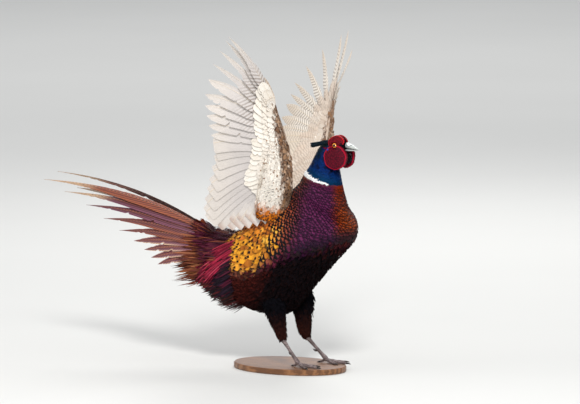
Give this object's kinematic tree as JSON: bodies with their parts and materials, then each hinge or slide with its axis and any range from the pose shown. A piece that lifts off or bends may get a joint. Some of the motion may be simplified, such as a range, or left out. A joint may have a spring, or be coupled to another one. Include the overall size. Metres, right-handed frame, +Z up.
{
  "type": "common pheasant",
  "caption": "Life-size still model of a male common pheasant in its crowing display, wings raised and long tail out behind, standing on a low oval base.",
  "frame": {"origin": "centre of the underside of the oval base", "axes": "+X towards the bill, +Y towards the bird's left side, +Z up"},
  "size_m": [0.7503, 0.4689, 0.7047],
  "materials": {
    "body_feathers": "scaled copper, purple and gold feathers with a soft sheen",
    "neck_feathers": "glossy blue and green feathers with a white collar",
    "red_skin": "bare crimson skin with fine bumps",
    "wing_feathers": "matt cream and buff feathers, barred grey brown",
    "tail_feathers": "matt buff brown feathers with dark bars",
    "thigh_feathers": "loose blackish brown feathers",
    "leg_scales": "grey scaled skin, satin",
    "claw_horn": "dark horn, satin",
    "bill_horn": "pale horn, satin",
    "eye": "clear gloss over a golden iris",
    "base_wood": "oiled wood, satin"
  },
  "bodies": {
    "root": {"torso": "body_feathers", "neck": "neck_feathers", "head": "neck_feathers", "bill_upper": "bill_horn", "bill_lower": "bill_horn", "tail": "tail_feathers", "stand_base": "base_wood", "eye_right": "eye", "wattle_right": "red_skin", "ear_tuft_right": "neck_feathers", "wing_right": "wing_feathers", "thigh_right": "thigh_feathers", "shank_right": "leg_scales", "foot_right": "leg_scales", "claw_right_inner": "claw_horn", "claw_right_middle": "claw_horn", "claw_right_outer": "claw_horn", "claw_right_hind": "claw_horn", "eye_left": "eye", "wattle_left": "red_skin", "ear_tuft_left": "neck_feathers", "wing_left": "wing_feathers", "thigh_left": "thigh_feathers", "shank_left": "leg_scales", "foot_left": "leg_scales", "claw_left_inner": "claw_horn", "claw_left_middle": "claw_horn", "claw_left_outer": "claw_horn", "claw_left_hind": "claw_horn"}
  },
  "joints": []
}
